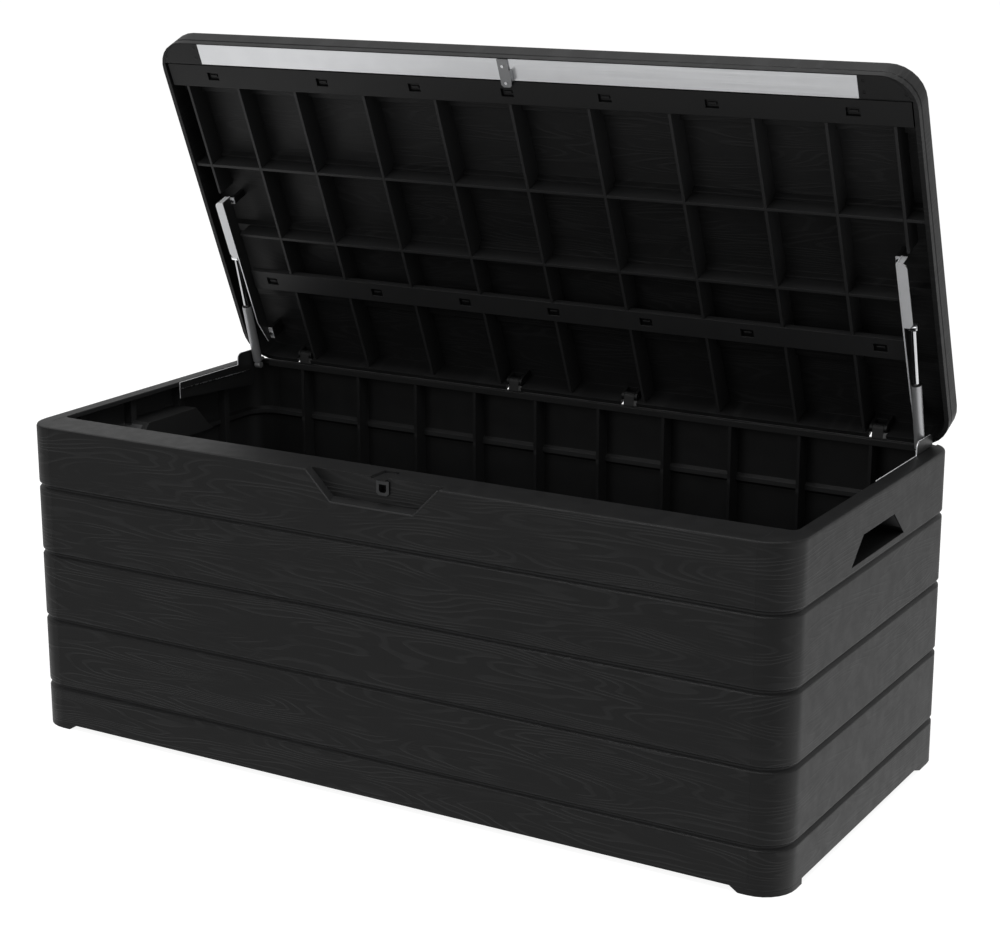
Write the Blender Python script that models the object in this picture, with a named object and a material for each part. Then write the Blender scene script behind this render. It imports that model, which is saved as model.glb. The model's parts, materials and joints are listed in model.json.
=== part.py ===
"""Deck storage box: a resin tub on corner feet with a wide hinged lid on two gas springs.

Metres, +Z up, X along the box, -Y at the front.  The tub is drawn about its own centre and the
lid is drawn shut, then everything is hung from three kinds of empties: the frame origin, the
lid's hinge axis (turned to the open position) and the two gas spring studs.
"""
import math

import bmesh
import bpy
from mathutils import Matrix, Vector

# ---------------------------------------------------------------- driving dimensions
HALF_X = 0.725                  # tub half length
HALF_Y = 0.3422                 # tub half depth
CORNER_R = 0.056                # plan radius of the tub's corners
BASE_Z = 0.0095                 # underside of the walls, the feet reach the floor
RIM_Z = 0.555                   # top of the tub
SKIN = 0.005                    # moulded wall thickness
GAP = 0.0003                    # air between neighbouring solids
SEAM_X = HALF_X - CORNER_R      # front and back panels end where the corners begin
GROOVES_Z = (0.078, 0.203, 0.324, 0.445)
GROOVE_DEEP = 0.006
FRONT_RIM = 0.076               # width of the front rim
BACK_RIM = 0.037
SIDE_RIM = 0.0285
RELIEF_Z = 0.5505               # back edge is stepped down so that the lid's edge can roll over it
RIB_PITCH = 0.131

LID_OVERHANG = 0.0015
LID_LOW = 0.5555                # closed lid: lower edge, ceiling of the inside, top
LID_CEILING = 0.600
LID_TOP = 0.605
LID_WALL = 0.008
LID_EDGE_R = 0.010
LID_GROOVES_Y = (-0.235, -0.088, 0.061, 0.206)
LID_RIBS_X = (0.0, 0.15, 0.298, 0.445, 0.57)
LID_RIB_LOW = 0.560
LID_RIB_SPLIT = 0.5747          # long ribs pass below the cross ribs' slots, cross ribs above them
LID_RIB_THICK = 0.005
LID_SHORT_RIB_X = 0.684
LID_RIDGE_LOW = 0.590           # ridges thicken the ceiling under the plank grooves
CROSS_RIBS_Y = (-0.088, 0.061)
LID_BAND_Z = 0.5685             # shallow groove round the lid's edge
LID_WEB = -0.3005               # wall behind the front box of the lid
BAR_FRONT = -0.3405             # aluminium bar under the lid's front edge
BAR_BACK = -0.3015

HINGE = Vector((0.0, 0.330, 0.5695))
OPEN_ANGLE = math.radians(67.7)
HINGES_X = (-0.595, -0.12, 0.12, 0.595)

GAS_X = 0.683                   # plane of each gas spring
GAS_TOP = Vector((0.0, 0.1053, 0.5518))      # stud on the lid's arm, lid shut
GAS_FOOT = Vector((0.0, 0.290, 0.547))       # lower eye beside the tub's bracket
ROD_R = 0.005
TUBE_R = 0.0088
TUBE_LENGTH = 0.117

CENTRE_Y = 0.0111               # the open lid reaches behind the tub: middle of the whole outline

RESIN = ((0.030, 0.031, 0.033, 1.0), 0.55, 0.0)
STEEL = ((0.62, 0.63, 0.65, 1.0), 0.30, 1.0)
CHROME = ((0.80, 0.80, 0.82, 1.0), 0.08, 1.0)
ALUMINIUM = ((0.85, 0.86, 0.88, 1.0), 0.35, 1.0)
SCREW = ((0.50, 0.50, 0.52, 1.0), 0.35, 1.0)


# ---------------------------------------------------------------- helpers
def paint(obj, finish):
    """Give an object its own Principled material."""
    colour, rough, metal = finish
    mat = bpy.data.materials.new(obj.name + "_finish")
    mat.use_nodes = True
    bsdf = mat.node_tree.nodes["Principled BSDF"]
    bsdf.inputs["Base Color"].default_value = colour
    bsdf.inputs["Roughness"].default_value = rough
    bsdf.inputs["Metallic"].default_value = metal
    obj.data.materials.clear()
    obj.data.materials.append(mat)


def add_object(name, bm, pivot):
    """Turn a bmesh drawn in tub coordinates into an object hung from a pivot empty."""
    mesh = bpy.data.meshes.new(name)
    bm.to_mesh(mesh)
    bm.free()
    mesh.transform(Matrix.Translation(-Vector(pivot["drawn_at"])))
    obj = bpy.data.objects.new(name, mesh)
    bpy.context.collection.objects.link(obj)
    obj.parent = pivot
    return obj


def add_pivot(name, drawn_at, parent=None, location=None, turn=0.0):
    """Empty that carries pieces: drawn_at is its place while the pieces are drawn."""
    pivot = bpy.data.objects.new(name, None)
    bpy.context.collection.objects.link(pivot)
    pivot["drawn_at"] = tuple(drawn_at)
    pivot.parent = parent
    pivot.location = drawn_at if location is None else location
    pivot.rotation_euler = (turn, 0.0, 0.0)
    return pivot


def add_faces(bm, rings):
    """Closed skin between successive rings of vertices, capped at both ends, facing out."""
    count = len(rings[0])
    faces = [bm.faces.new(rings[0][::-1]), bm.faces.new(rings[-1])]
    for low, high in zip(rings, rings[1:]):
        for i in range(count):
            j = (i + 1) % count
            faces.append(bm.faces.new((low[i], low[j], high[j], high[i])))
    volume = 0.0
    for face in faces:
        first, *others = [vert.co for vert in face.verts]
        volume += sum(first.dot(a.cross(b)) for a, b in zip(others, others[1:]))
    if volume < 0.0:
        bmesh.ops.reverse_faces(bm, faces=faces)


def place(axis, a, b, along):
    """Point from two coordinates in the plane across an axis and one along it."""
    if axis == "x":
        return (along, a, b)
    if axis == "y":
        return (a, along, b)
    return (a, b, along)


def prism_into(bm, outline, axis, low, high):
    rings = [[bm.verts.new(place(axis, a, b, s)) for a, b in outline] for s in (low, high)]
    add_faces(bm, rings)


def block_into(bm, low, high):
    outline = ((low[0], low[1]), (high[0], low[1]), (high[0], high[1]), (low[0], high[1]))
    prism_into(bm, outline, "z", low[2], high[2])


def prism(name, pivot, outline, axis, low, high):
    bm = bmesh.new()
    prism_into(bm, outline, axis, low, high)
    return add_object(name, bm, pivot)


def block(name, pivot, low, high):
    return blocks(name, pivot, ((low, high),))


def blocks(name, pivot, pairs):
    """Several separate boxes as one tool for a Boolean."""
    bm = bmesh.new()
    for low, high in pairs:
        block_into(bm, low, high)
    return add_object(name, bm, pivot)


def circle(a, b, radius, steps=24):
    return [(a + radius * math.cos(math.tau * i / steps), b + radius * math.sin(math.tau * i / steps))
            for i in range(steps)]


def arc(a, b, radius, start, end, steps):
    """Points on an arc, angles in degrees, both ends included."""
    turns = [math.radians(start + (end - start) * i / steps) for i in range(steps + 1)]
    return [(a + radius * math.cos(t), b + radius * math.sin(t)) for t in turns]


def rod(name, pivot, axis, centre, radius, low, high, steps=24):
    obj = prism(name, pivot, circle(centre[0], centre[1], radius, steps), axis, low, high)
    smooth(obj)
    return obj


def smooth(obj, angle=35.0):
    obj.data.shade_smooth()
    obj.data.set_sharp_from_angle(angle=math.radians(angle))


def combine(obj, tool, operation):
    """Exact Boolean with a hidden tool object."""
    tool.hide_render = True
    tool.display_type = "WIRE"
    step = obj.modifiers.new(operation.lower(), "BOOLEAN")
    step.operation = operation
    step.solver = "EXACT"
    step.object = tool


def join(obj, tool):
    combine(obj, tool, "UNION")


def cut(obj, tool):
    combine(obj, tool, "DIFFERENCE")


def rounded_plan(half_x, y_low, y_high, radius, steps=7):
    """Rectangle with round corners, anticlockwise."""
    corners = ((half_x - radius, y_high - radius, 0), (radius - half_x, y_high - radius, 90),
               (radius - half_x, y_low + radius, 180), (half_x - radius, y_low + radius, 270))
    points = []
    for a, b, start in corners:
        points += arc(a, b, radius, start, start + 90, steps)
    return points


def stack(name, pivot, levels):
    """Solid from plan outlines at rising heights."""
    bm = bmesh.new()
    rings = [[bm.verts.new((x, y, z)) for x, y in plan] for plan, z in levels]
    add_faces(bm, rings)
    return add_object(name, bm, pivot)


def mirrored(low, high, side):
    """Box corners with X mirrored to one side and put back in order."""
    xs = sorted((side * low[0], side * high[0]))
    return (xs[0], low[1], low[2]), (xs[1], high[1], high[2])


# ---------------------------------------------------------------- tub walls
def wall_section(rim, rim_low, relief=None):
    """Closed wall outline as (depth behind the outer face, height)."""
    lip = 0.014
    points = [(lip, BASE_Z), (0.0, BASE_Z)]
    for z in GROOVES_Z:
        points += [(0.0, z - 0.007), (0.0008, z - 0.0052), (GROOVE_DEEP, z - 0.0012),
                   (GROOVE_DEEP, z + 0.0012), (0.0008, z + 0.0052), (0.0, z + 0.007)]
    top = RIM_Z if relief is None else RELIEF_Z
    points += [(0.0, top - 0.005), (0.0014, top - 0.0014), (0.005, top)]
    if relief is not None:
        points += [(relief, RELIEF_Z), (relief, RIM_Z)]
    points += [(rim - 0.001, RIM_Z), (rim, RIM_Z - 0.001), (rim, rim_low), (SKIN, rim_low)]
    for z in reversed(GROOVES_Z):
        points += [(SKIN, z + 0.009), (SKIN + GROOVE_DEEP, z + 0.004),
                   (SKIN + GROOVE_DEEP, z - 0.004), (SKIN, z - 0.009)]
    points += [(SKIN, BASE_Z + SKIN), (lip, BASE_Z + SKIN)]
    return points


def rib_section(depth, low, high):
    """Outline of an upright rib, rooted half way through the wall's skin."""
    points = [(depth, low), (SKIN / 2, low)]
    for z in GROOVES_Z:
        if low < z - 0.009 and z + 0.009 < high:
            points += [(SKIN / 2, z - 0.008), (SKIN / 2 + GROOVE_DEEP, z - 0.0025),
                       (SKIN / 2 + GROOVE_DEEP, z + 0.0025), (SKIN / 2, z + 0.008)]
    return points + [(SKIN / 2, high), (depth, high)]


def sweep_wall(name, pivot, section, stations):
    """Carry a wall section along stations of (x, y, outward x, outward y)."""
    bm = bmesh.new()
    rings = [[bm.verts.new((x - nx * d, y - ny * d, z)) for d, z in section]
             for x, y, nx, ny in stations]
    add_faces(bm, rings)
    return add_object(name, bm, pivot)


def long_panel(name, pivot, front, section, rib_depth, rib_top):
    """Front or back wall between the corners, with its upright ribs."""
    sign = -1 if front else 1
    end = SEAM_X - GAP / 2
    panel = sweep_wall(name, pivot, section, [(x, sign * HALF_Y, 0, sign) for x in (-end, end)])
    outline = [(sign * (HALF_Y - d), z) for d, z in rib_section(rib_depth, 0.0215, rib_top)]
    bm = bmesh.new()
    for i in range(10):
        x = (i - 4.5) * RIB_PITCH
        prism_into(bm, outline, "x", x - 0.003, x + 0.003)
    join(panel, add_object(name + "_ribs", bm, pivot))
    return panel


def make_front_panel(root):
    panel = long_panel("front_panel", root, True, wall_section(FRONT_RIM, 0.547), 0.020, 0.549)
    front = -HALF_Y
    deep = 0.018
    join(panel, block("latch_backing", root, (-0.142, front + SKIN / 2, 0.4985),
                      (0.146, front + deep + SKIN, 0.549)))
    # Latch recess: a trapezoid let into the top plank, with a floor that rises inwards.
    bm = bmesh.new()
    wide, narrow, middle, top = 0.1285, 0.079, 0.002, RIM_Z + 0.001
    rings = []
    for y, rise in ((front - 0.001, 0.0), (front + deep, 0.005)):
        low = 0.506 + rise
        half = narrow + (wide - narrow) * rise / (top - 0.506)
        corners = ((-wide, top), (-half, low), (half, low), (wide, top))
        rings.append([bm.verts.new((middle + x, y, z)) for x, z in corners])
    add_faces(bm, rings)
    cut(panel, add_object("latch_recess", bm, root))
    # A padlock's shackle needs room behind its loop.
    join(panel, block("shackle_backing", root, (-0.001, front + deep + 0.001, 0.5223),
                      (0.031, -0.3092, 0.549)))
    cut(panel, block("shackle_room", root, (0.0065, front + deep - 0.005, 0.5297), (0.0235, -0.3135, 0.5462)))
    # The latch strap lies in a shallow pocket of the rim, its fin drops into the slot beside it.
    cut(panel, block("strap_pocket", root, (-0.009, front + 0.010, 0.5505), (0.021, -0.283, 0.560)))
    cut(panel, block("fin_slot", root, (0.0183, -0.3285, 0.540), (0.0232, -0.288, 0.560)))
    paint(panel, RESIN)


def make_back_panel(root):
    section = wall_section(BACK_RIM, 0.5435, relief=0.0300)
    paint(long_panel("back_panel", root, False, section, BACK_RIM - 0.0005, 0.546), RESIN)


def side_stations(side):
    """Plan of an end wall: front corner, flat, back corner."""
    ends = []
    for sign in (-1, 1):
        turns = [math.radians(90 * i / 7) for i in range(8)]
        corner = [(side * math.sin(t), sign * math.cos(t)) for t in turns]
        cx, cy = side * SEAM_X, sign * (HALF_Y - CORNER_R)
        ends.append([(cx + CORNER_R * nx, cy + CORNER_R * ny, nx, ny) for nx, ny in corner])
    stations = ends[0] + ends[1][::-1]
    for at, neighbour in ((0, 1), (-1, -2)):
        x, y, nx, ny = stations[at]
        stations[at] = (x + side * GAP / 2, y, nx, ny)
    return stations


def side_corner_plate(side, y_edge, y_far):
    """Plan of the rim's infill where a narrow side rim meets a wider front or back rim."""
    back = 1 if y_far > y_edge else -1
    inner, seam, turn = HALF_X - SIDE_RIM, SEAM_X + GAP / 2, 0.010
    points = [(seam, y_edge), (seam, y_far), (inner + 0.012, y_far), (inner + 0.012, y_edge - back * turn)]
    points += [(inner, y_edge - back * turn)]
    for angle in (30, 60):
        t = math.radians(angle)
        points.append((inner - turn * (1 - math.cos(t)), y_edge - back * turn * (1 - math.sin(t))))
    points.append((inner - turn, y_edge))
    return [(side * x, y) for x, y in points]


def make_side_panel(root, name, side):
    panel = sweep_wall(name, root, wall_section(SIDE_RIM, 0.547), side_stations(side))
    front_edge, back_edge = FRONT_RIM - HALF_Y, HALF_Y - BACK_RIM
    fills = ((front_edge, -HALF_Y + 0.020), (back_edge, HALF_Y - 0.020))
    for tag, (edge, far) in zip(("front", "back"), fills):
        outline = side_corner_plate(side, edge, far)
        join(panel, prism(name + "_fill_" + tag, root, outline, "z", 0.5474, RIM_Z - 0.0002))
    # Upright ribs, rooted in the skin.
    outline = [(side * (HALF_X - d), z) for d, z in rib_section(0.022, 0.0215, 0.549)]
    bm = bmesh.new()
    for y in (-0.21, -0.07, 0.07, 0.21):
        prism_into(bm, outline, "y", y - 0.007, y + 0.007)
    join(panel, add_object(name + "_ribs", bm, root))
    # Hand hold: a trapezoid pocket above the top groove, closed on the inside.
    shell = handle_outline(0.0042)
    join(panel, prism(name + "_handle_shell", root, shell, "x",
                      *sorted((side * (HALF_X - SKIN / 2), side * 0.668))))
    cut(panel, prism(name + "_handle_pocket", root, handle_outline(0.0), "x",
                     *sorted((side * (HALF_X + 0.001), side * 0.6722))))
    cut(panel, block(name + "_relief", root,
                     *mirrored((SEAM_X - 0.01, HALF_Y - 0.030, RELIEF_Z), (0.700, HALF_Y + 0.01, 0.56), side)))
    smooth(panel, 28)
    paint(panel, RESIN)


def handle_outline(grow):
    low, high = 0.460 - grow * 0.9, 0.502 + grow
    wide, narrow = 0.112 + grow * 1.6, 0.066 + grow * 0.9
    return [(-wide, low), (wide, low), (narrow, high), (-narrow, high)]


def make_floor(root):
    inset = SKIN + GAP
    plan = rounded_plan(HALF_X - inset, inset - HALF_Y, HALF_Y - inset, CORNER_R - inset)
    low = BASE_Z + SKIN + GAP
    floor = stack("floor_panel", root, ((plan, low), (plan, low + 0.006)))
    paint(floor, RESIN)


def make_foot(root, name, side, back):
    """Corner foot: outer edge follows the tub, inner ends slope up to the wall."""
    top = BASE_Z - GAP
    y_sign = 1 if back else -1
    cx, cy = SEAM_X, HALF_Y - CORNER_R
    corner = arc(cx, cy, CORNER_R, 0, 90, 7)
    rings = []
    bm = bmesh.new()
    for z, run in ((0.0, 0.014), (top, 0.0)):
        x_end = 0.640 + run
        y_end = 0.222 + (run * 1.9 if back else 0.042)
        plan = [(0.690, y_end), (HALF_X, y_end)] + corner + [(x_end, HALF_Y), (x_end, 0.315), (0.690, 0.315)]
        rings.append([bm.verts.new((side * x, y_sign * y, z)) for x, y in plan])
    add_faces(bm, rings)
    foot = add_object(name, bm, root)
    smooth(foot, 28)
    paint(foot, RESIN)


# ---------------------------------------------------------------- hardware on the tub
def make_lock_catch(root):
    """Padlock loop that stands on the back of the latch recess."""
    y = -HALF_Y + 0.018 - GAP
    loop = prism("lock_catch", root, [(0.003, 0.530), (0.008, 0.526), (0.022, 0.526), (0.027, 0.530),
                                      (0.027, 0.550), (0.003, 0.550)], "y", y - 0.003, y)
    hole = prism("lock_catch_hole", root, [(0.008, 0.534), (0.011, 0.531), (0.019, 0.531), (0.022, 0.534),
                                           (0.022, 0.5445), (0.008, 0.5445)], "y", y - 0.01, y + 0.01)
    cut(loop, hole)
    paint(loop, STEEL)


def make_hinges(root, lid):
    """Each hinge: a lug on the tub, a pin through it and a clip on the lid with two cheeks."""
    y, z = HINGE.y, HINGE.z
    for number, x in enumerate(HINGES_X, 1):
        low = RELIEF_Z + GAP
        outline = [(y - 0.0105, low), (y + 0.0095, low), (y + 0.008, z)] + arc(y, z, 0.008, 20, 160, 7)
        outline.append((y - 0.008, z))
        lug = prism("hinge_lug_%d" % number, root, outline, "x", x - 0.010, x + 0.010)
        cut(lug, prism("lug_bore_%d" % number, root, circle(y, z, 0.00256), "x", x - 0.02, x + 0.02))
        paint(lug, RESIN)

        pin = rod("hinge_pin_%d" % number, root, "x", (y, z), 0.0025, x - 0.017, x + 0.017)
        paint(pin, STEEL)

        top = LID_CEILING - GAP
        cheek = [(y - 0.008, z)] + arc(y, z, 0.008, 180, 350, 8) + [(y + 0.0038, z + 0.010),
                                                                  (y + 0.0038, top), (y - 0.008, top)]
        clip = prism("lid_hinge_clip_%d" % number, lid, cheek, "x", x - 0.0155, x + 0.0155)
        cut(clip, block("clip_fork_%d" % number, lid, (x - 0.0105, y - 0.02, z - 0.02),
                        (x + 0.0105, y + 0.02, z + 0.016)))
        cut(clip, prism("clip_bore_%d" % number, lid, circle(y, z, 0.00256), "x", x - 0.02, x + 0.02))
        paint(clip, RESIN)


def make_stay_bracket(root, name, side):
    """Steel strip on the inside of the end wall, with an ear that guards the spring's lower eye."""
    inner, outer = 0.6943, 0.6961
    foot = RIM_Z + 0.0008
    outline = [(0.057, 0.5235), (0.281, 0.507), (0.2895, 0.512)]
    outline += [(0.2895, foot), (0.312, foot), (0.312, 0.566)]
    outline += arc(0.301, 0.566, 0.011, 20, 90, 3) + arc(0.249, 0.566, 0.011, 90, 160, 3)
    outline += [(0.238, 0.5545), (0.057, 0.5545)]
    strip = prism(name, root, outline, "x", *sorted((side * inner, side * outer)))
    paint(strip, STEEL)


# ---------------------------------------------------------------- lid
def make_lid_shell(lid):
    half_x, radius = HALF_X + LID_OVERHANG, CORNER_R + LID_OVERHANG

    def outline(inset):
        return rounded_plan(half_x - inset, inset - HALF_Y, HALF_Y - inset, radius - inset)

    levels = [(outline(0.0), LID_LOW)]
    for rise, inset in ((-0.0022, 0.0), (-0.0006, 0.0014), (0.0006, 0.0014), (0.0022, 0.0)):
        levels.append((outline(inset), LID_BAND_Z + rise))
    for step in range(5):
        t = math.radians(90 * step / 4)
        levels.append((outline(LID_EDGE_R * (1 - math.cos(t))), LID_TOP - LID_EDGE_R * (1 - math.sin(t))))
    shell = stack("lid_shell", lid, levels)

    inner_x, back, web = half_x - LID_WALL, HALF_Y - LID_WALL, LID_WEB
    r = radius - LID_WALL
    plan = [(-inner_x, web), (inner_x, web)] + arc(inner_x - r, back - r, r, 0, 90, 7)
    plan += arc(r - inner_x, back - r, r, 90, 180, 7)
    cut(shell, prism("lid_inside", lid, plan, "z", 0.55, LID_CEILING))
    cut(shell, block("lid_front_box", lid, (-0.665, -HALF_Y + 0.0065, 0.55), (0.665, web - 0.005, 0.592)))

    bm = bmesh.new()
    for y in LID_GROOVES_Y:
        prism_into(bm, ridge_outline(y, 0.0, LID_CEILING + 0.001), "x", -inner_x - 0.002, inner_x + 0.002)
    join(shell, add_object("lid_ridges", bm, lid))
    bosses = [mirrored((0.6595, y0, 0.5678), (0.6665, y1, LID_CEILING + 0.002), side)
              for side in (-1, 1) for y0, y1 in ((-0.017, -0.005), (0.2735, 0.298))]
    join(shell, blocks("arm_bosses", lid, bosses))

    # Plank grooves across the top, they run out through the rounded edge at both ends.
    for y in LID_GROOVES_Y:
        cut(shell, prism("lid_groove", lid, groove_outline(y, LID_TOP, 0.0006), "x", -0.74, 0.74))

    # Seats for the bar and corner plates, the two cross beams and the hinge windows.
    seat = LID_LOW + 0.0033
    cut(shell, block("bar_seat", lid, (-0.6323, BAR_FRONT - GAP, 0.55), (0.6323, web + 0.001, seat)))
    for side in (-1, 1):
        cut(shell, prism("corner_seat", lid, corner_plate_plan(side, 0.0003), "z", 0.55, seat))
    cut(shell, block("front_beam_seat", lid, (-0.7182, -0.2976, 0.55), (0.7182, -0.2540, 0.5713)))
    cut(shell, block("rear_beam_seat", lid, (-0.6643, 0.1387, 0.55), (0.6643, 0.1783, 0.5713)))
    windows = [((x - 0.0158, back - 0.002, 0.55), (x + 0.0158, HALF_Y + 0.002, 0.5785)) for x in HINGES_X]
    cut(shell, blocks("hinge_windows", lid, windows))
    smooth(shell, 28)
    paint(shell, RESIN)


def groove_outline(y, face, over):
    """V groove across y, let into a face."""
    return [(y - 0.0065, face + over), (y - 0.0012, face - GROOVE_DEEP), (y + 0.0012, face - GROOVE_DEEP),
            (y + 0.0065, face + over)]


def ridge_outline(y, grow, top):
    """Trapezoid of the ridge under a plank groove, grown for the ribs that fit round it."""
    low, wide, narrow = LID_RIDGE_LOW - grow, 0.012 + grow, 0.007 + grow
    return [(y - wide, top), (y - narrow, low), (y + narrow, low), (y + wide, top)]


def long_rib_outline(back):
    """Side view of a rib that runs front to back, notched for the beams, ridges and cross ribs."""
    top, beam_top, front = LID_CEILING - GAP, 0.5713, LID_WEB + GAP
    points = [(front, beam_top), (-0.2537, beam_top), (-0.2537, LID_RIB_LOW)]
    if back > 0.1:
        points += [(0.1384, LID_RIB_LOW), (0.1384, beam_top), (0.1786, beam_top), (0.1786, LID_RIB_LOW)]
    points += [(back, LID_RIB_LOW), (back, top)]
    for y in reversed([groove for groove in LID_GROOVES_Y if groove < back]):
        right_up, right_low, left_low, left_up = ridge_outline(y, GAP, top)[::-1]
        points += [right_up, right_low]
        if y in CROSS_RIBS_Y:
            half = LID_RIB_THICK / 2 + GAP
            points += [(y + half, right_low[1]), (y + half, LID_RIB_SPLIT), (y - half, LID_RIB_SPLIT),
                       (y - half, right_low[1])]
        points += [left_low, left_up]
    return points + [(front, top)]


def make_lid_ribs(lid):
    """Stiffening ribs: long ones front to back, and two cross ribs half lapped over them."""
    half = LID_RIB_THICK / 2
    back = HALF_Y - LID_WALL - GAP
    long_x = sorted([side * x for x in LID_RIBS_X[1:] for side in (-1, 1)] + [0.0])
    outline = long_rib_outline(back)
    for number, x in enumerate(long_x, 1):
        paint(prism("lid_rib_%d" % number, lid, outline, "x", x - half, x + half), RESIN)
    for name, x in (("left", -LID_SHORT_RIB_X), ("right", LID_SHORT_RIB_X)):
        outline = long_rib_outline(-0.0285)
        paint(prism("lid_short_rib_" + name, lid, outline, "x", x - half, x + half), RESIN)
    wall_x, slot, lap = HALF_X + LID_OVERHANG - LID_WALL - GAP, half + GAP, LID_RIB_SPLIT + GAP
    spans = (("front", wall_x, long_x + [-LID_SHORT_RIB_X, LID_SHORT_RIB_X]), ("rear", 0.6655, long_x))
    for (name, end, crossed), y in zip(spans, CROSS_RIBS_Y):
        outline = [(-end, LID_RIB_LOW)]
        for x in sorted(crossed):
            outline += [(x - slot, LID_RIB_LOW), (x - slot, lap), (x + slot, lap), (x + slot, LID_RIB_LOW)]
        outline += [(end, LID_RIB_LOW), (end, LID_RIDGE_LOW - GAP), (-end, LID_RIDGE_LOW - GAP)]
        paint(prism("lid_cross_rib_" + name, lid, outline, "y", y - half, y + half), RESIN)


def corner_plate_plan(side, grow):
    """Plan of the plate between the bar and the lid's corner."""
    radius = CORNER_R + LID_OVERHANG
    cx, cy = HALF_X + LID_OVERHANG - radius, radius - HALF_Y
    wide, deep = radius - LID_WALL + grow, cy - BAR_FRONT + grow
    stop = math.asin((BAR_BACK + grow - cy) / deep)
    turns = [-math.pi / 2 + (stop + math.pi / 2) * i / 7 for i in range(8)]
    points = [(0.6328 - grow, BAR_BACK + grow), (0.6328 - grow, cy - deep)]
    points += [(cx + wide * math.cos(t), cy + deep * math.sin(t)) for t in turns]
    return [(side * x, y) for x, y in points]


def make_lid_front(lid):
    """Aluminium bar between two resin corner plates, under the lid's front edge."""
    bar = block("front_bar", lid, (-0.632, BAR_FRONT, LID_LOW), (0.632, BAR_BACK, LID_LOW + 0.003))
    paint(bar, ALUMINIUM)
    for name, side in (("corner_plate_left", -1), ("corner_plate_right", 1)):
        plate = prism(name, lid, corner_plate_plan(side, 0.0), "z", LID_LOW, LID_LOW + 0.003)
        paint(plate, RESIN)


def make_beam(lid, name, half_x, y_low, y_high):
    """Channel across the lid's ribs, open upwards, with a row of slots in its face."""
    low, high = 0.559, 0.571
    beam = block(name, lid, (-half_x, y_low, low), (half_x, y_high, high))
    cut(beam, block(name + "_channel", lid, (-half_x + 0.003, y_low + 0.003, low + 0.003),
                    (half_x - 0.003, y_high - 0.003, high + 0.01)))
    slots = [0.0] + [s * x for x in (0.185, 0.378, 0.618) for s in (-1, 1)]
    y = (y_low + y_high) / 2
    boxes = [((x - 0.012, y - 0.0075, 0.55), (x + 0.012, y + 0.0075, 0.565)) for x in slots]
    cut(beam, blocks(name + "_slots", lid, boxes))
    paint(beam, RESIN)


def make_latch_strap(lid):
    """Steel strap on the bar, with a fin that enters the slot in the tub's rim."""
    low, high = 0.5530, LID_LOW - GAP
    strap = prism("latch_strap", lid, [(-0.004, -0.3405), (0.016, -0.3405), (0.016, -0.293), (0.012, -0.289),
                                       (0.000, -0.289), (-0.004, -0.293)], "z", low, high)
    join(strap, block("fin_root", lid, (0.0155, -0.3215, low + 0.0002), (0.0212, -0.303, high - 0.0002)))
    join(strap, block("latch_fin", lid, (0.0197, -0.3225, 0.5455), (0.0217, -0.302, high - 0.0001)))
    paint(strap, STEEL)
    for number, (x, y) in enumerate(((0.005, -0.328), (0.006, -0.297)), 1):
        rivet = rod("latch_rivet_%d" % number, lid, "z", (x, y), 0.0028, 0.5516, low - GAP, steps=12)
        paint(rivet, SCREW)


def make_lift_arm(lid, name, side):
    """Pressed steel arm on the lid: a deep flange, a web along its front half and two screw tabs."""
    front, back = -0.019, 0.300
    thick_low, thick_high = 0.6685, 0.6710
    flange = [(front, 0.541), (0.248, 0.541), (back, 0.556), (back, 0.5675), (front, 0.5675)]
    arm = prism(name, lid, flange, "x", *sorted((side * thick_low, side * thick_high)))
    edge, bend = 0.6872, 0.009
    web = [(0.6695, front + 0.0002)] + arc(edge - bend, front + 0.0002 + bend, bend, -90, 0, 4)
    web += [(edge, 0.094), (0.681, 0.102), (0.6695, 0.102)]
    join(arm, prism(name + "_web", lid, [(side * x, y) for x, y in web], "z", 0.5412, 0.5437))
    stop = mirrored((0.6697, front + 0.0004, 0.5414), (0.6800, front + 0.0030, 0.5660), side)
    join(arm, block(name + "_stop", lid, *stop))
    tabs = [mirrored((0.6590, y0, 0.5650), (0.6700, y1, 0.5673), side)
            for y0, y1 in ((-0.017, -0.005), (0.2745, 0.297))]
    join(arm, blocks(name + "_tabs", lid, tabs))
    paint(arm, STEEL)
    for number, y in enumerate((-0.011, 0.286), 1):
        screw = rod("%s_screw_%d" % (name, number), lid, "z", (side * 0.6635, y), 0.0035,
                    0.5627, 0.5650 - GAP, steps=12)
        paint(screw, SCREW)
    stud = rod(name + "_stud", lid, "x", (GAS_TOP.y, GAS_TOP.z), 0.004,
               *sorted((side * (thick_high + GAP), side * 0.6762)), steps=16)
    paint(stud, STEEL)


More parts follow.
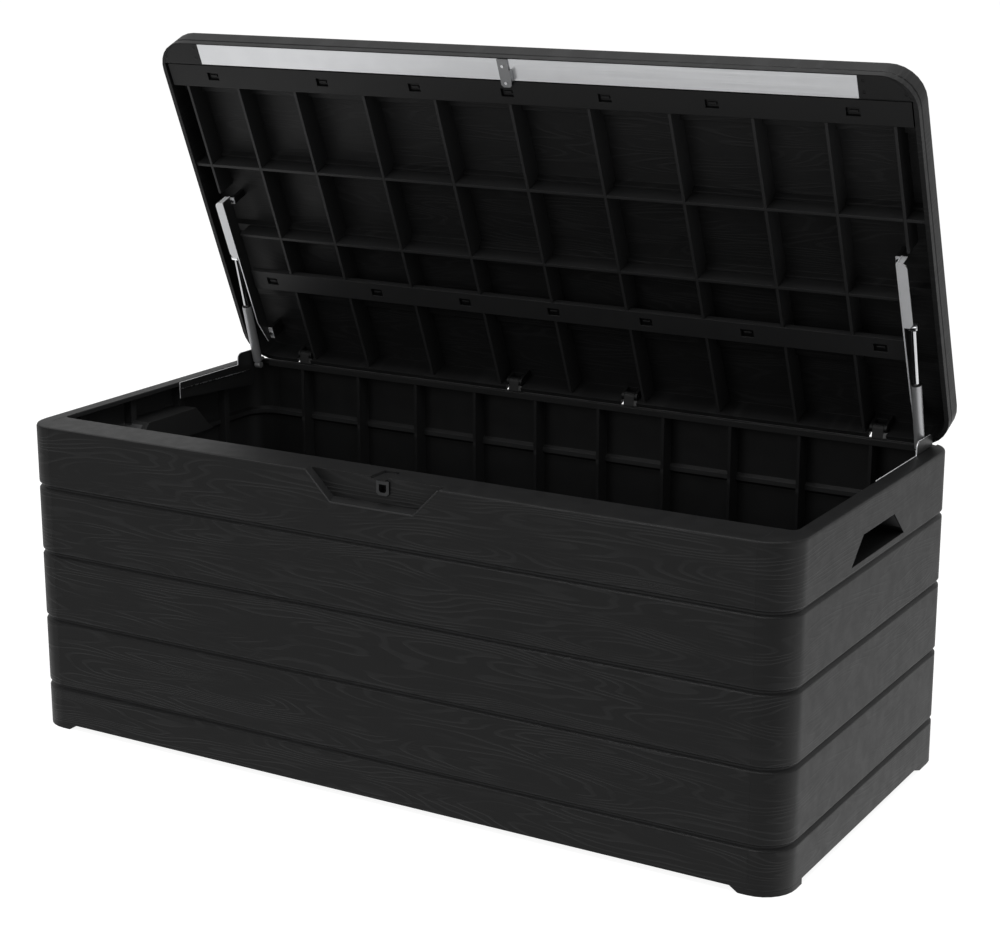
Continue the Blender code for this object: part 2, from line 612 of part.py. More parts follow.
# ---------------------------------------------------------------- gas springs
def make_gas_spring(root, label, side, stud):
    """Rod and tube drawn hanging straight down from the stud, the empty leans them to the foot."""
    reach = (GAS_FOOT - stud).length
    lean = math.atan2(GAS_FOOT.y - stud.y, stud.z - GAS_FOOT.z)
    x = side * GAS_X
    pivot = add_pivot(label + "_gas_axis", (0, 0, 0), root, stud, lean)

    tube_low = 0.0095 - reach
    tube_high = tube_low + TUBE_LENGTH
    rod_low = tube_high - 0.018

    piston = rod(label + "_gas_rod", pivot, "z", (x, 0), ROD_R, rod_low, -0.002)
    eye = rod(label + "_rod_eye", pivot, "x", (0, 0), 0.0075, *sorted((side * 0.6765, side * 0.6895)))
    join(piston, eye)
    paint(piston, CHROME)

    tube = rod(label + "_gas_cylinder", pivot, "z", (x, 0), TUBE_R, tube_low, tube_high)
    neck = (-reach + 0.002, tube_low + 0.002)
    bore = (tube_low + 0.040, tube_high + 0.01)
    join(tube, rod(label + "_foot_neck", pivot, "z", (x, 0), 0.0045, *neck, steps=16))
    join(tube, rod(label + "_foot_eye", pivot, "x", (0, -reach), 0.006, *sorted((side * 0.6770, side * 0.6890))))
    cut(tube, rod(label + "_tube_bore", pivot, "z", (x, 0), ROD_R + 0.00006, *bore))
    paint(tube, STEEL)


# ---------------------------------------------------------------- assembly
def main():
    for obj in list(bpy.data.objects):
        bpy.data.objects.remove(obj, do_unlink=True)
    root = add_pivot("frame_origin", (0, 0, 0), location=(0, -CENTRE_Y, 0))
    lid = add_pivot("lid_hinge_axis", HINGE, root, turn=-OPEN_ANGLE)

    make_front_panel(root)
    make_back_panel(root)
    make_side_panel(root, "left_panel", -1)
    make_side_panel(root, "right_panel", 1)
    make_floor(root)
    for x_name, side in (("left", -1), ("right", 1)):
        make_foot(root, "foot_front_" + x_name, side, False)
        make_foot(root, "foot_back_" + x_name, side, True)
        make_stay_bracket(root, x_name + "_bracket", side)
        make_lift_arm(lid, x_name + "_lift_arm", side)
    make_lock_catch(root)
    make_hinges(root, lid)

    make_lid_shell(lid)
    make_lid_ribs(lid)
    make_lid_front(lid)
    make_beam(lid, "lid_front_beam", 0.715, -0.2973, -0.2543)
    make_beam(lid, "lid_rear_beam", 0.664, 0.1390, 0.1780)
    make_latch_strap(lid)

    turn = Matrix.Rotation(-OPEN_ANGLE, 3, "X")
    stud = HINGE + turn @ (GAS_TOP - HINGE)
    for x_name, side in (("left", -1), ("right", 1)):
        make_gas_spring(root, x_name, side, stud)


main()
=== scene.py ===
"""Looks of the deck storage box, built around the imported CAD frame.

The tub and the open lid keep their CAD solids.  This script gives every node its material, adds
the small moulded and metal details, and sets the camera, the floor and the studio light.
"""
import json
import math

import bmesh
import bpy
from mathutils import Matrix, Vector


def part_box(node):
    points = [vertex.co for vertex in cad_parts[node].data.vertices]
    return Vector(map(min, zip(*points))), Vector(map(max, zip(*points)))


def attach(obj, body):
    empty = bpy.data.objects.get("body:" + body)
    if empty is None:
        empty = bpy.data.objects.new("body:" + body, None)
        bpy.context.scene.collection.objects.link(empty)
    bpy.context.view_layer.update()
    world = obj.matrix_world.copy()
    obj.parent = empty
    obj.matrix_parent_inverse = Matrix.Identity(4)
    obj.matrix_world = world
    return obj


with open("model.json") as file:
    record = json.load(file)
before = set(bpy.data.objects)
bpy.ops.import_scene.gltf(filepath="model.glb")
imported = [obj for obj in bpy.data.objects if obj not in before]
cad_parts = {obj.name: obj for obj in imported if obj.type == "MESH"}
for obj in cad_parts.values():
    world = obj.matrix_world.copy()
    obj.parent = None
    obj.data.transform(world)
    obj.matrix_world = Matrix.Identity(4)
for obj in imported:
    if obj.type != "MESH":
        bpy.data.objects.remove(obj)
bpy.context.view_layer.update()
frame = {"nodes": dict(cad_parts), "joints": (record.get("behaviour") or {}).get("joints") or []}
NODES = frame["nodes"]

# ---------------------------------------------------------------- places taken from the frame
JOINTS = {joint["name"]: joint for joint in frame["joints"]}
HINGE = Vector(JOINTS["lid_hinge"]["pos_m"])
OPEN_ANGLE = math.radians(JOINTS["lid_hinge"]["range_deg"][1])
TUB_LOW, TUB_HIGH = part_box("left_panel")[0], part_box("right_panel")[1]
CENTRE_Y = (TUB_LOW.y + TUB_HIGH.y) / 2
STUDS = {side: Vector(JOINTS[side + "_rod_pivot"]["pos_m"]) for side in ("left", "right")}
SPRING_AXIS = Vector(JOINTS["left_tube_slide"]["axis"])
TO_OPEN = Matrix.Translation(HINGE) @ Matrix.Rotation(-OPEN_ANGLE, 4, "X") @ Matrix.Translation(-HINGE)
LID_DOWN = TO_OPEN.to_3x3() @ Vector((0.0, 0.0, -1.0))
SIDES = (("left", -1), ("right", 1))

# ---------------------------------------------------------------- the tub, y from its middle
GROOVES_Z = (0.078, 0.203, 0.324, 0.445)        # joints between the tub's planks
JOINT_PAINTED_LIGHT = (0.002, 0.006)    # painted light in a joint, against its shade, fades between these distances from it
RIB_SIDES = (0.66, 0.26)        # the walls' inner ribs lie within these x and y; painted light goes on their sides
HAND_HOLD_X = (0.68, 0.7225)    # the hand holds' pockets: depth, half length, middle and half height
HAND_HOLD_HALF_Y = 0.10
HAND_HOLD_Z = 0.481
HAND_HOLD_HALF_Z = 0.0205
RECESS_LOW = (0.079, 0.506)     # lower and upper corners of the latch recess: half width, height
RECESS_HIGH = (0.1250, 0.5525)
RECESS_MIDDLE = 0.002
LIP_RADIUS = 0.0014
LIP_SUNK = 0.0003
SEAM_GAP = 0.0003               # air that the CAD leaves between neighbouring panels
HAIR = 0.00001                  # points closer than this are one point

# ---------------------------------------------------------------- the shut lid, y from the tub's middle
LID_LOW = 0.5555                # underside of the lid's edge
BEAMS_Y = ((-0.2973, -0.2543), (0.1390, 0.1780))    # the two slotted beams
SLOTS_X = (0.0, -0.185, 0.185, -0.378, 0.378, -0.618, 0.618)
LINER_Z = 0.5665
LINER_SIZE = (0.0300, 0.0210, 0.0028, 0.0006)   # length, width, height, chamfer
TONGUE_Z = 0.5637
TONGUE_SIZE = (0.0150, 0.0040, 0.0026, 0.0008)
CORNER_SCREWS = ((0.642, -0.333), (0.642, -0.313), (0.710, -0.312))     # x and y
CORNER_SCREW_SIZE = (0.0038, 0.0016)            # radius, height
CORNER_SCREW_SUNK = 0.0013

# ---------------------------------------------------------------- stay brackets and gas springs
BRACKET_SCREWS = ((0.0665, 0.5485), (0.0665, 0.5395), (0.0665, 0.5305), (0.2055, 0.5485), (0.2055, 0.5285))
BRACKET_SCREW_SIZE = (0.0036, 0.0017)
BEAD_ENDS = ((0.062, 0.5418), (0.272, 0.5375))  # y and z
BEAD_RADIUS = 0.0011
TUBE_TOP = 0.1055               # from the stud down the spring to the top of its tube
STUD_END_X = 0.6896
COLLAR_RINGS = ((0.0086, -0.0002), (0.0086, 0.0008), (0.0078, 0.0022), (0.0064, 0.0028), (0.0055, 0.0028))
STUD_CLIP_RINGS = ((0.0062, 0.0), (0.0062, 0.0008), (0.0050, 0.0016), (0.0024, 0.0018))    # radius, height

# ---------------------------------------------------------------- looks
SMOOTH_ANGLE = math.radians(28)
EDGE_ROUND = 0.0012             # radius that the resin's edges seem to have
GRAIN_DEPTH = 0.00028
RINGS = (2.4, 21.0)             # noise cells per metre, along and across a plank
SWAY = (11.0, 55.0)
LINE_PATCHES = (6.0, 26.0)
PORES = (16.0, 420.0)
PORE_PATCHES = (3.0, 12.0)
RING_COUNT = 40.0
SWAY_SIZE = 1.5
PLANK_SHIFT = 3.7               # step in the noise from one plank to the next
LID_PLANKS_PER_METRE = 7.0
GRAIN_TINT = 2.2                # grey levels as multiples of the resin's own
# painted light in the tub's joints, on its inner ribs' sides and on the ends' insides
PAINTED_LIGHT_TINT = 2.8
# painted light: the lighter grey that the hand holds' pockets get in place of their shade
HAND_HOLD_PAINTED_LIGHT = 0.06

# ---------------------------------------------------------------- light and camera
WORLD_FRONT = 0.27              # light from the front and from behind the box
WORLD_BACK = 0.57
FRONT_TO_BACK = (-0.7, 0.5)     # directions between which the one changes into the other
WORLD_LOW = 2.7                 # factors towards the ground and towards the sky
WORLD_HIGH = 1.0
LOW_TO_HIGH = (-0.75, -0.15)
LIGHTS = {                      # place, aim, size and power
    "top": ((0.0, -0.6, 4.0), (0.0, 0.0, 0.3), (3.0, 2.0), 85),
    "front_fill": ((-1.0, -4.0, 2.2), (0.0, 0.0, 0.6), (2.5, 2.5), 28),
    "right_fill": ((3.6, -0.9, 0.9), (0.0, 0.1, 0.6), (1.6, 1.6), 3),
}
FLOOR_SIZE = 60.0
CAMERA_SPOT = (1.8947, CENTRE_Y - 3.1602, 1.4775)
CAMERA_TURN = (math.radians(75.10), 0.0, math.radians(30.42))
CAMERA_LENS = 79.85


# ---------------------------------------------------------------- node helpers
class Graph:
    """Small wrapper that adds shader nodes and links them in one call."""

    def __init__(self, name):
        self.material = bpy.data.materials.new(name)
        self.material.use_nodes = True
        self.tree = self.material.node_tree
        self.bsdf = self.tree.nodes["Principled BSDF"]

    def add(self, kind, **settings):
        node = self.tree.nodes.new("ShaderNode" + kind)
        for key, value in settings.items():
            setattr(node, key, value)
        return node

    def feed(self, socket, value):
        if isinstance(value, bpy.types.NodeSocket):
            self.tree.links.new(value, socket)
        else:
            socket.default_value = value

    def math(self, operation, first, second=0.0):
        node = self.add("Math", operation=operation)
        self.feed(node.inputs[0], first)
        self.feed(node.inputs[1], second)
        return node.outputs[0]

    def remap(self, value, low, high, to_low=0.0, to_high=1.0):
        """Smooth step between two values."""
        node = self.add("MapRange", interpolation_type="SMOOTHSTEP")
        for socket, number in zip(node.inputs[:5], (value, low, high, to_low, to_high)):
            self.feed(socket, number)
        return node.outputs[0]

    def noise(self, vector, scale, detail=2.0, rough=0.5):
        node = self.add("TexNoise")
        self.feed(node.inputs["Vector"], vector)
        node.inputs["Scale"].default_value = scale
        node.inputs["Detail"].default_value = detail
        node.inputs["Roughness"].default_value = rough
        return node.outputs[0]

    def stretch(self, vector, scale=(1.0, 1.0, 1.0), turn=(0.0, 0.0, 0.0)):
        node = self.add("Mapping")
        self.feed(node.inputs["Vector"], vector)
        node.inputs["Scale"].default_value = scale
        node.inputs["Rotation"].default_value = turn
        return node.outputs[0]

    def times(self, first, second):
        return self.math("MULTIPLY", first, second)

    def distance(self, value, middle=0.0):
        """How far a value is from a middle, either way."""
        return self.math("ABSOLUTE", self.math("SUBTRACT", value, middle))

    def split(self, vector):
        node = self.add("SeparateXYZ")
        self.feed(node.inputs[0], vector)
        return node.outputs

    def place_and_normal(self):
        """Object coordinates and the surface's normal, each split into x, y and z."""
        spot = self.add("TexCoord").outputs["Object"]
        return self.split(spot), self.split(self.add("NewGeometry").outputs["Normal"])

    def join(self, x, y, z):
        node = self.add("CombineXYZ")
        for socket, value in zip(node.inputs, (x, y, z)):
            self.feed(socket, value)
        return node.outputs[0]

    def mix(self, amount, first, second):
        node = self.add("Mix", data_type="RGBA")
        self.feed(node.inputs["Factor"], amount)
        self.feed(node.inputs["A"], first)
        self.feed(node.inputs["B"], second)
        return node.outputs["Result"]

    def bump(self, height, distance, strength=1.0, round_edges=0.0):
        node = self.add("Bump")
        if round_edges:
            bevel = self.add("Bevel", samples=4)
            bevel.inputs["Radius"].default_value = round_edges
            self.feed(node.inputs["Normal"], bevel.outputs[0])
        self.feed(node.inputs["Height"], height)
        node.inputs["Distance"].default_value = distance
        node.inputs["Strength"].default_value = strength
        self.feed(self.bsdf.inputs["Normal"], node.outputs[0])

    def set(self, **values):
        for key, value in values.items():
            self.feed(self.bsdf.inputs[key.replace("_", " ")], value)


def grey(level):
    return (level, level * 1.01, level * 1.03, 1.0)


# ---------------------------------------------------------------- materials
def grain_lines(graph, along, across, seed):
    """Embossed wood grain: contour lines of a noise field drawn out along the plank."""
    def field(cells, **settings):
        place = graph.join(graph.times(along, cells[0]), graph.times(across, cells[1]), seed)
        return graph.noise(place, 1.0, **settings)

    rings = graph.times(field(RINGS, detail=1.2, rough=0.4), RING_COUNT)
    sway = graph.times(field(SWAY), SWAY_SIZE)
    ridge = graph.math("SINE", graph.times(graph.math("ADD", rings, sway), math.tau / 2))
    lines = graph.times(graph.remap(ridge, 0.30, 0.98), graph.remap(field(LINE_PATCHES), 0.30, 0.58))
    pores = graph.remap(field(PORES, detail=1.0), 0.54, 0.72, 0.0, 0.45)
    pores = graph.times(pores, graph.remap(field(PORE_PATCHES), 0.42, 0.66))
    return graph.math("MAXIMUM", lines, pores)


def lid_grain(graph, spot):
    """Fainter grain on both sides of the lid, which is drawn open."""
    x, across, _ = graph.split(graph.stretch(spot, turn=(OPEN_ANGLE, 0.0, 0.0)))
    plank = graph.math("FLOOR", graph.times(across, LID_PLANKS_PER_METRE))
    return graph.times(grain_lines(graph, x, across, graph.times(plank, PLANK_SHIFT)), 0.6)


def tub_grain(graph):
    """Grain on the outer faces of the tub's planks, fainter on the short sides."""
    (x, y, z), (nx, ny, _) = graph.place_and_normal()
    plank = 0.0
    for low in GROOVES_Z:
        plank = graph.math("ADD", plank, graph.math("GREATER_THAN", z, low))
    lines = grain_lines(graph, graph.math("ADD", x, y), z, graph.times(plank, PLANK_SHIFT))
    outward = graph.times(ny, graph.math("SIGN", graph.math("SUBTRACT", y, CENTRE_Y)))
    long_side = graph.remap(outward, 0.3, 0.8)
    short_side = graph.remap(graph.times(nx, graph.math("SIGN", x)), 0.5, 0.9, 0.0, 0.35)
    return graph.times(lines, graph.math("MAXIMUM", long_side, short_side))


def tub_painted_light(graph):
    """Painted light that lifts the tub's colour against shade: in plank joints, on the inner ribs' sides and
    the ends' insides.
    """
    (x, y, z), (nx, ny, _) = graph.place_and_normal()
    lift = 0.0
    for middle in GROOVES_Z:
        joint = graph.remap(graph.distance(z, middle), *JOINT_PAINTED_LIGHT, 0.7, 0.0)
        lift = graph.math("MAXIMUM", lift, joint)
    offsets = (graph.distance(x), graph.distance(y, CENTRE_Y))
    for normal, offset, limit in zip((nx, ny), offsets, RIB_SIDES):
        sideways = graph.remap(graph.distance(normal), 0.6, 0.9)
        rib = graph.times(sideways, graph.math("LESS_THAN", offset, limit))
        lift = graph.math("MAXIMUM", lift, rib)
    outward = graph.times(nx, graph.math("SIGN", x))
    return graph.math("MAXIMUM", lift, graph.remap(outward, -0.9, -0.6, 1.0, 0.0))


def hand_hold_light_mask(graph):
    """One inside the hand holds' pockets, which get painted light in place of their shade, zero elsewhere."""
    (x, y, z), _ = graph.place_and_normal()
    deep = graph.distance(x)
    inside = graph.times(graph.math("GREATER_THAN", deep, HAND_HOLD_X[0]),
                         graph.math("LESS_THAN", deep, HAND_HOLD_X[1]))
    for offset, limit in ((graph.distance(y, CENTRE_Y), HAND_HOLD_HALF_Y),
                          (graph.distance(z, HAND_HOLD_Z), HAND_HOLD_HALF_Z)):
        inside = graph.times(inside, graph.math("LESS_THAN", offset, limit))
    return inside


def make_resin(name, level, rough, grain=None, gloss=0.3):
    """Moulded resin with a fine matt texture; grain names how the planks run: tub or lid."""
    graph = Graph(name)
    spot = graph.add("TexCoord").outputs["Object"]
    mottle = graph.noise(spot, 38.0, detail=3.0, rough=0.6)
    height = graph.times(graph.noise(spot, 900.0), 0.12)
    colour = graph.mix(mottle, grey(level * 0.93), grey(level * 1.07))
    if grain:
        lines = tub_grain(graph) if grain == "tub" else lid_grain(graph, spot)
        height = graph.math("ADD", height, lines)
        colour = graph.mix(graph.times(lines, 0.6), colour, grey(level * GRAIN_TINT))
    if grain == "tub":
        # painted light against the shade in the joints, on the ribs' sides and on the ends' insides
        colour = graph.mix(tub_painted_light(graph), colour, grey(level * PAINTED_LIGHT_TINT))
        # painted light in the hand holds' pockets
        colour = graph.mix(hand_hold_light_mask(graph), colour, grey(HAND_HOLD_PAINTED_LIGHT))
    graph.set(Base_Color=colour, Roughness=graph.remap(mottle, 0.2, 0.8, rough - 0.04, rough + 0.04))
    graph.bump(height, GRAIN_DEPTH, round_edges=EDGE_ROUND)
    graph.bsdf.inputs["Specular IOR Level"].default_value = gloss
    return graph.material


def make_metal(name, level, rough, grain_axis=None, metallic=1.0, brushed=0.0):
    """Sheet or bar metal with fine lines along one axis."""
    graph = Graph(name)
    spot = graph.add("TexCoord").outputs["Object"]
    scale = {"X": (6.0, 900.0, 900.0), "Z": (900.0, 900.0, 6.0), None: (120.0, 120.0, 120.0)}[grain_axis]
    lines = graph.noise(graph.stretch(spot, scale), 1.0, detail=3.0, rough=0.6)
    blotch = graph.noise(spot, 24.0)
    colour = graph.mix(blotch, grey(level * 0.94), grey(level * 1.04))
    shine = graph.remap(lines, 0.3, 0.7, rough - 0.05, rough + 0.07)
    graph.set(Base_Color=colour, Metallic=metallic, Roughness=shine)
    if brushed:
        graph.bump(lines, 0.00005, brushed)
    return graph.material


def make_arm_metal(name):
    """Bright zinc on the front and the edges of arms and brackets, with a painted dark reflection on their
    broad sides.
    """
    graph = Graph(name)
    spot = graph.add("TexCoord").outputs["Object"]
    nx, _, _ = graph.split(graph.add("NewGeometry").outputs["Normal"])
    # painted reflection: faces turned along x are drawn near black
    side = graph.remap(graph.distance(nx), 0.6, 0.9)
    blotch = graph.noise(spot, 30.0)
    bright = graph.mix(blotch, grey(0.90), grey(0.98))
    graph.set(Base_Color=graph.mix(side, bright, grey(0.03)), Metallic=0.25,
              Roughness=graph.remap(blotch, 0.2, 0.8, 0.30, 0.40))
    return graph.material


def make_floor_material():
    """White floor that glows a little, so that only the box's own shadow shows on it."""
    graph = Graph("studio_floor")
    graph.set(Base_Color=(0.3, 0.3, 0.3, 1.0), Roughness=0.9, Emission_Color=(1.0, 1.0, 1.0, 1.0),
              Emission_Strength=0.9, Specular_IOR_Level=0.0)
    return graph.material


def make_finishes():
    """Every finish by its short name; resin and metal take a grey level and a roughness."""
    return {
        "tub": make_resin("resin_tub_planks", 0.010, 0.45, "tub"),
        "lid": make_resin("resin_lid_planks", 0.013, 0.45, "lid", gloss=0.26),
        "plain": make_resin("resin_plain", 0.011, 0.45),
        # the ribs' resin is a lighter copy of the plain resin: painted light
        "rib": make_resin("resin_ribs", 0.025, 0.45),
        "black": make_resin("black_hardware", 0.004, 0.35),
        "zinc": make_metal("zinc_plated_steel", 0.88, 0.22, "Z"),
        "arm": make_arm_metal("arm_zinc"),
        "strap": make_metal("strap_steel", 0.30, 0.34, "Z"),
        "catch": make_metal("catch_steel", 0.09, 0.38),
        "tube": make_metal("spring_tube_steel", 0.55, 0.42, "Z", metallic=0.7),
        "chrome": make_metal("chromed_rod", 0.85, 0.10),
        "bar": make_metal("milled_aluminium", 0.92, 0.34, "X", brushed=0.4),
        "screw": make_metal("plated_screws", 0.75, 0.25),
    }


def finish_of(name):
    """Which finish a CAD node gets."""
    if name in ("front_panel", "back_panel", "left_panel", "right_panel"):
        return "tub"
    exact = {"lid_shell": "lid", "lid_rear_beam": "rib", "front_bar": "bar", "latch_strap": "strap",
             "lock_catch": "catch"}
    endings = {"gas_rod": "chrome", "gas_cylinder": "tube", "bracket": "arm", "lift_arm": "arm",
               "stud": "zinc"}
    if name in exact:
        return exact[name]
    for ending, kind in endings.items():
        if name.endswith(ending):
            return kind
    if "screw" in name or "rivet" in name:
        return "screw"
    if "rib" in name:
        return "rib"
    return "black" if name.startswith("hinge_pin") else "plain"


def dress_nodes(finishes):
    """Give every CAD node its material, smooth round faces and flat broad faces."""
    group = smooth_group()
    for name, node in NODES.items():
        node.data.materials.clear()
        node.data.materials.append(finishes[finish_of(name)])
        if "custom_normal" in node.data.attributes:
            node.data.attributes.remove(node.data.attributes["custom_normal"])
        node.modifiers.new("smooth", "NODES").node_group = group
        weighted = node.modifiers.new("weighted", "WEIGHTED_NORMAL")
        weighted.weight = 100
        weighted.keep_sharp = True


def smooth_group():
    """Geometry nodes that weld a solid's facets and shade it smooth, save at its sharp edges."""
    tree = bpy.data.node_groups.new("smooth_by_angle", "GeometryNodeTree")
    for way in ("INPUT", "OUTPUT"):
        tree.interface.new_socket("Geometry", in_out=way, socket_type="NodeSocketGeometry")
    source, weld, faces, edges, target = [tree.nodes.new(kind) for kind in (
        "NodeGroupInput", "GeometryNodeMergeByDistance", "GeometryNodeSetShadeSmooth",
        "GeometryNodeSetShadeSmooth", "NodeGroupOutput")]
    angle = tree.nodes.new("GeometryNodeInputMeshEdgeAngle")
    below = tree.nodes.new("FunctionNodeCompare")
    weld.inputs["Distance"].default_value = HAIR
    edges.domain = "EDGE"
    below.operation = "LESS_THAN"
    below.inputs[1].default_value = SMOOTH_ANGLE
    chain = (source, weld, faces, edges, target)
    for first, second in zip(chain, chain[1:]):
        tree.links.new(first.outputs[0], second.inputs[0])
    tree.links.new(angle.outputs["Unsigned Angle"], below.inputs[0])
    tree.links.new(below.outputs[0], edges.inputs["Shade Smooth"])
    return tree


# ---------------------------------------------------------------- small pieces
def add_piece(name, bm, body, material):
    """Object from a bmesh in world coordinates, shaded smooth, riding on a body."""
    mesh = bpy.data.meshes.new(name)
    bmesh.ops.recalc_face_normals(bm, faces=bm.faces)
    bm.to_mesh(mesh)
    bm.free()
    mesh.shade_smooth()
    mesh.set_sharp_from_angle(angle=SMOOTH_ANGLE)
    mesh.materials.append(material)
    piece = bpy.data.objects.new(name, mesh)
    bpy.context.scene.collection.objects.link(piece)
    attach(piece, body)


def frame_at(spot, outward, along=(1.0, 0.0, 0.0)):
    """Matrix with its origin at a spot and its Z axis pointing outward."""
    z = Vector(outward).normalized()
    x = (Vector(along) - z * z.dot(along)).normalized()
    rotation = Matrix((x, z.cross(x), z)).transposed().to_4x4()
    return Matrix.Translation(spot) @ rotation


def turn_into(bm, place, rings, steps=24):
    """Closed turned shape; each ring is (radius, height, wave), wave makes a cross-shaped ring."""
    loops = []
    for radius, height, wave in rings:
        loop = []
        for i in range(steps):
            t = math.tau * i / steps
            r = radius * (1.0 + wave * math.cos(4 * t))
            loop.append(bm.verts.new(place @ Vector((r * math.cos(t), r * math.sin(t), height))))
        loops.append(loop)
    bm.faces.new(loops[0][::-1])
    bm.faces.new(loops[-1])
    for low, high in zip(loops, loops[1:]):
        for i in range(steps):
            j = (i + 1) % steps
            bm.faces.new((low[i], low[j], high[j], high[i]))


def rod_into(bm, start, end, radius, tip, cap, along=(1.0, 0.0, 0.0)):
    """Round rod that tapers to its tip radius over a short cap past either end."""
    length = (end - start).length
    rings = [(tip, -cap, 0.0), (radius, 0.0, 0.0), (radius, length, 0.0), (tip, length + cap, 0.0)]
    turn_into(bm, frame_at(start, end - start, along), rings, steps=12)


def screw_into(bm, spot, outward, radius, height):
    """Pan head with a cross recess."""
    rings = [(radius, 0.0, 0.0), (radius, height * 0.5, 0.0), (radius * 0.92, height * 0.8, 0.0),
             (radius * 0.72, height * 0.97, 0.0), (radius * 0.42, height, 0.35),
             (radius * 0.36, height * 0.35, 0.35)]
    turn_into(bm, frame_at(spot, outward), rings)


def lid_spot(x, y, z):
    """World place of a point given on the shut lid, y from the tub's middle."""
    return TO_OPEN @ Vector((x, y + CENTRE_Y, z))


def add_corner_screws(finishes):
    """Sunk screws that hold the corner plates and the ends of the bar."""
    bm = bmesh.new()
    for _, sign in SIDES:
        for x, y in CORNER_SCREWS:
            screw_into(bm, lid_spot(sign * x, y, LID_LOW + CORNER_SCREW_SUNK), LID_DOWN, *CORNER_SCREW_SIZE)
    add_piece("corner_plate_screws", bm, "lid", finishes["black"])


def chamfered_into(bm, place, length, width, height, cut):
    """Bar along X with all its upper edges chamfered."""
    outlines = []
    for inset, z in ((0.0, 0.0), (0.0, height - cut), (cut, height)):
        a, b = length / 2 - inset, width / 2 - inset
        corners = ((-a, -b), (a, -b), (a, b), (-a, b))
        outlines.append([bm.verts.new(place @ Vector((x, y, z))) for x, y in corners])
    bm.faces.new(outlines[0][::-1])
    bm.faces.new(outlines[-1])
    for low, high in zip(outlines, outlines[1:]):
        for i in range(4):
            j = (i + 1) % 4
            bm.faces.new((low[i], low[j], high[j], high[i]))


def add_slot_clips(finishes):
    """Black liner and a resin tongue inside every slot of the two beams."""
    liners, tongues = bmesh.new(), bmesh.new()
    for low, high in BEAMS_Y:
        middle = (low + high) / 2
        for x in SLOTS_X:
            chamfered_into(liners, frame_at(lid_spot(x, middle, LINER_Z), LID_DOWN), *LINER_SIZE)
            chamfered_into(tongues, frame_at(lid_spot(x, middle, TONGUE_Z), LID_DOWN), *TONGUE_SIZE)
    add_piece("slot_liners", liners, "lid", finishes["black"])
    add_piece("slot_tongues", tongues, "lid", finishes["plain"])


def bracket_spot(side, sign, y, z):
    """Place on the inner face of a stay bracket."""
    low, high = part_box(side + "_bracket")
    return Vector((high.x if sign < 0 else low.x, y + CENTRE_Y, z))


def add_bracket_beads(finishes):
    """Bright rolled bead along each stay bracket, up to the spring's foot."""
    for side, sign in SIDES:
        start, end = [bracket_spot(side, sign, y, z) for y, z in BEAD_ENDS]
        bm = bmesh.new()
        rod_into(bm, start, end, BEAD_RADIUS, tip=0.0004, cap=0.003)
        add_piece(side + "_bracket_bead", bm, "tub", finishes["screw"])


def add_bracket_screws(finishes):
    """Pan head screws through both stay brackets."""
    for side, sign in SIDES:
        bm = bmesh.new()
        for y, z in BRACKET_SCREWS:
            screw_into(bm, bracket_spot(side, sign, y, z), (-sign, 0, 0), *BRACKET_SCREW_SIZE)
        add_piece(side + "_bracket_screws", bm, "tub", finishes["screw"])


def add_spring_details(finishes):
    """Seal collar at each tube's mouth, ring clip on each stud."""
    for side, sign in SIDES:
        mouth = STUDS[side] - SPRING_AXIS * TUBE_TOP
        bm = bmesh.new()
        turn_into(bm, frame_at(mouth, SPRING_AXIS), [(*ring, 0.0) for ring in COLLAR_RINGS])
        add_piece(side + "_seal_collar", bm, side + "_spring_tube", finishes["black"])
        bm = bmesh.new()
        end = Vector((sign * STUD_END_X, STUDS[side].y, STUDS[side].z))
        turn_into(bm, frame_at(end, (sign, 0, 0), (0, 1, 0)), [(*ring, 0.0) for ring in STUD_CLIP_RINGS])
        add_piece(side + "_stud_clip", bm, side + "_spring_rod", finishes["screw"])


def add_recess_lip(finishes):
    """Thin raised lip along the lower edge and the two slanting ends of the latch recess; its lighter rib
    resin is a painted highlight.
    """
    outline = [(sign * width, z) for sign, (width, z) in (
        (-1, RECESS_HIGH), (-1, RECESS_LOW), (1, RECESS_LOW), (1, RECESS_HIGH))]
    corners = [Vector((RECESS_MIDDLE + x, TUB_LOW.y + LIP_SUNK, z)) for x, z in outline]
    bm = bmesh.new()
    for start, end in zip(corners, corners[1:]):
        rod_into(bm, start, end, LIP_RADIUS, tip=0.0008, cap=0.0008, along=(0, 1, 0))
    # the lighter rib resin on the lip is a painted highlight
    add_piece("latch_recess_lip", bm, "tub", finishes["rib"])


def add_seam_fills(finishes):
    """Close the hair's breadth of air between the long panels and the end panels."""
    for name in ("front_panel", "back_panel"):
        for side, sign in SIDES:
            bm = bmesh.new()
            bm.from_mesh(NODES[name].data)
            bmesh.ops.remove_doubles(bm, verts=bm.verts, dist=HAIR)
            end = max(sign * vert.co.x for vert in bm.verts)
            spare = [face for face in bm.faces if any(sign * vert.co.x < end - HAIR for vert in face.verts)]
            bmesh.ops.delete(bm, geom=spare, context="FACES")
            copy = bmesh.ops.extrude_face_region(bm, geom=bm.faces[:], use_keep_orig=True)
            moved = [item for item in copy["geom"] if isinstance(item, bmesh.types.BMVert)]
            bmesh.ops.translate(bm, verts=moved, vec=(sign * SEAM_GAP, 0.0, 0.0))
            add_piece("%s_seam_%s" % (name, side), bm, "tub", finishes["tub"])


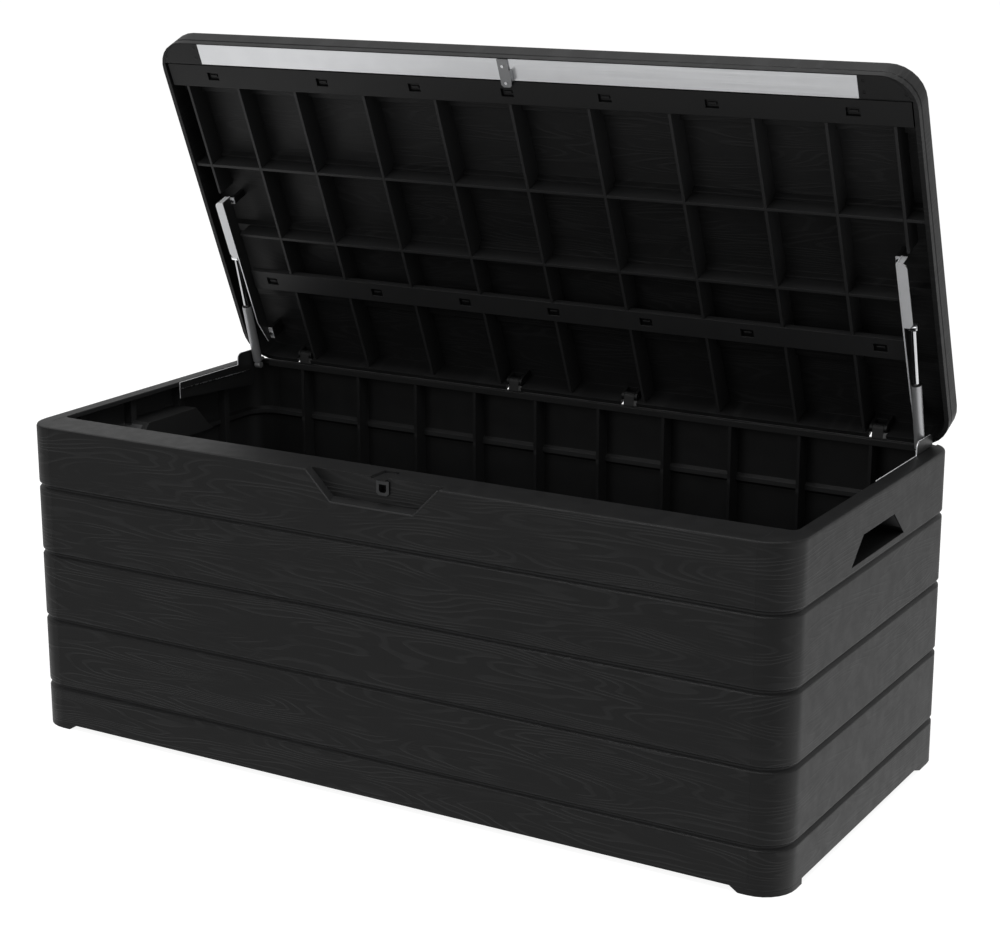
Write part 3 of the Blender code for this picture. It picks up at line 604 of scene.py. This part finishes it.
# ---------------------------------------------------------------- stage
def make_floor():
    """Wide studio floor, seen by the camera but not by the box's reflections."""
    bm = bmesh.new()
    bmesh.ops.create_grid(bm, x_segments=8, y_segments=8, size=FLOOR_SIZE)
    mesh = bpy.data.meshes.new("studio_floor")
    bm.to_mesh(mesh)
    bm.free()
    floor = bpy.data.objects.new("studio_floor", mesh)
    bpy.context.scene.collection.objects.link(floor)
    mesh.materials.append(make_floor_material())
    floor.visible_diffuse = False
    floor.visible_glossy = False


def add_area(name, spot, aim, size, power):
    """Rectangular lamp at a spot, turned to its aim."""
    light = bpy.data.lights.new(name, "AREA")
    light.shape = "RECTANGLE"
    light.size, light.size_y = size
    light.energy = power
    obj = bpy.data.objects.new(name, light)
    obj.location = spot
    obj.rotation_euler = (Vector(aim) - Vector(spot)).to_track_quat("-Z", "Y").to_euler()
    bpy.context.scene.collection.objects.link(obj)


def make_world():
    """White studio all round: full white to the camera, softer from the front than from behind."""
    world = bpy.data.worlds.new("studio")
    world.use_nodes = True
    tree = world.node_tree
    background = tree.nodes["Background"]
    background.inputs["Color"].default_value = (1.0, 1.0, 1.0, 1.0)
    spot = tree.nodes.new("ShaderNodeTexCoord")
    split = tree.nodes.new("ShaderNodeSeparateXYZ")
    tree.links.new(spot.outputs["Generated"], split.inputs[0])
    ramps = []
    for axis, numbers in (("Y", (*FRONT_TO_BACK, WORLD_FRONT, WORLD_BACK)),
                          ("Z", (*LOW_TO_HIGH, WORLD_LOW, WORLD_HIGH))):
        ramp = tree.nodes.new("ShaderNodeMapRange")
        ramp.interpolation_type = "SMOOTHSTEP"
        tree.links.new(split.outputs[axis], ramp.inputs[0])
        for socket, number in zip(ramp.inputs[1:5], numbers):
            socket.default_value = number
        ramps.append(ramp.outputs[0])
    product = tree.nodes.new("ShaderNodeMath")
    product.operation = "MULTIPLY"
    for socket, value in zip(product.inputs, ramps):
        tree.links.new(value, socket)
    path = tree.nodes.new("ShaderNodeLightPath")
    pick = tree.nodes.new("ShaderNodeMix")
    tree.links.new(path.outputs["Is Camera Ray"], pick.inputs["Factor"])
    tree.links.new(product.outputs[0], pick.inputs["A"])
    pick.inputs["B"].default_value = 1.0
    tree.links.new(pick.outputs["Result"], background.inputs["Strength"])
    bpy.context.scene.world = world


def make_stage():
    """Floor, light and the camera that takes the photograph's view."""
    scene = bpy.context.scene
    make_floor()
    make_world()
    scene.view_settings.view_transform = "Standard"
    for name, (spot, aim, size, power) in LIGHTS.items():
        add_area(name, spot, aim, size, power)

    camera = bpy.data.cameras.new("camera")
    camera.sensor_width = 36.0
    camera.lens = CAMERA_LENS
    camera.clip_end = 200.0
    view = bpy.data.objects.new("camera", camera)
    view.location = CAMERA_SPOT
    view.rotation_euler = CAMERA_TURN
    scene.collection.objects.link(view)
    scene.camera = view


def main():
    finishes = make_finishes()
    dress_nodes(finishes)
    add_corner_screws(finishes)
    add_slot_clips(finishes)
    add_bracket_screws(finishes)
    add_bracket_beads(finishes)
    add_spring_details(finishes)
    add_recess_lip(finishes)
    add_seam_fills(finishes)
    make_stage()


main()
